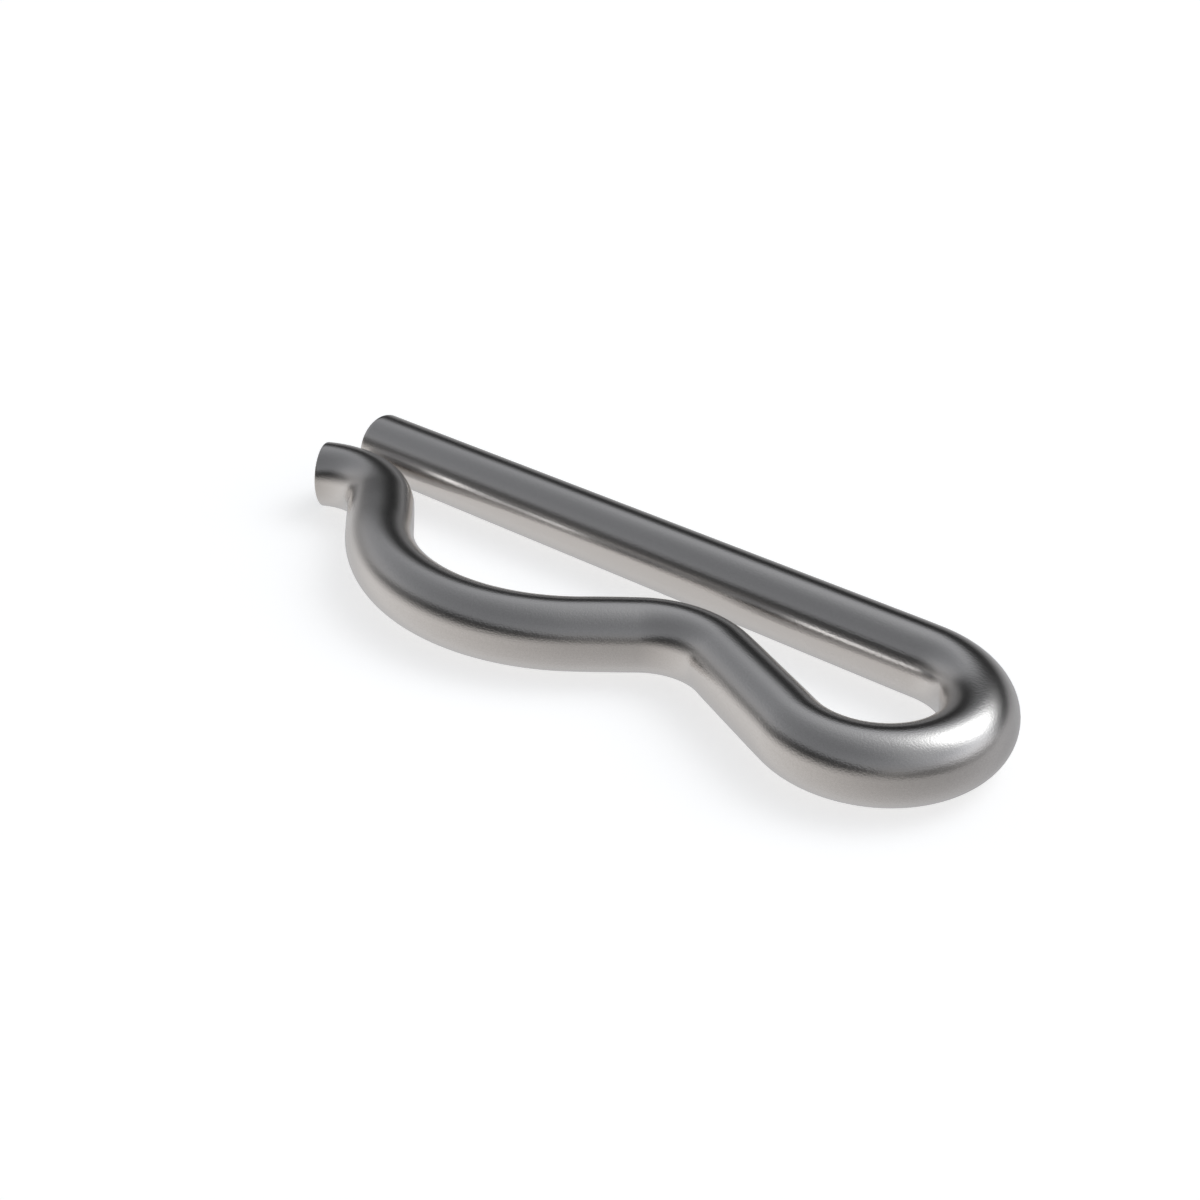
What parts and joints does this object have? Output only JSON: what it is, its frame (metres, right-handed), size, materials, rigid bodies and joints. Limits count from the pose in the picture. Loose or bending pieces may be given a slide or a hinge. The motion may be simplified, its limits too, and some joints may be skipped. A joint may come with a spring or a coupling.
{
  "type": "hairpin cotter pin",
  "caption": "Hairpin cotter, or R-clip: round spring wire with a straight leg for a shaft's cross hole, a looped return bend and a wavy arm that snaps over the shaft.",
  "frame": {"origin": "on the straight leg's axis, where it crosses the axis of the shaft that the belly seats on", "axes": "+X along the leg to the return bend, +Y from the arm to the leg, +Z along the shaft's axis, square to the plane that the clip lies in"},
  "size_m": [0.0476, 0.016, 0.004],
  "materials": {
    "spring_steel_wire": "satin, bright drawn spring steel wire with a fine grain along it"
  },
  "bodies": {
    "root": {"clip": "spring_steel_wire"}
  },
  "joints": []
}
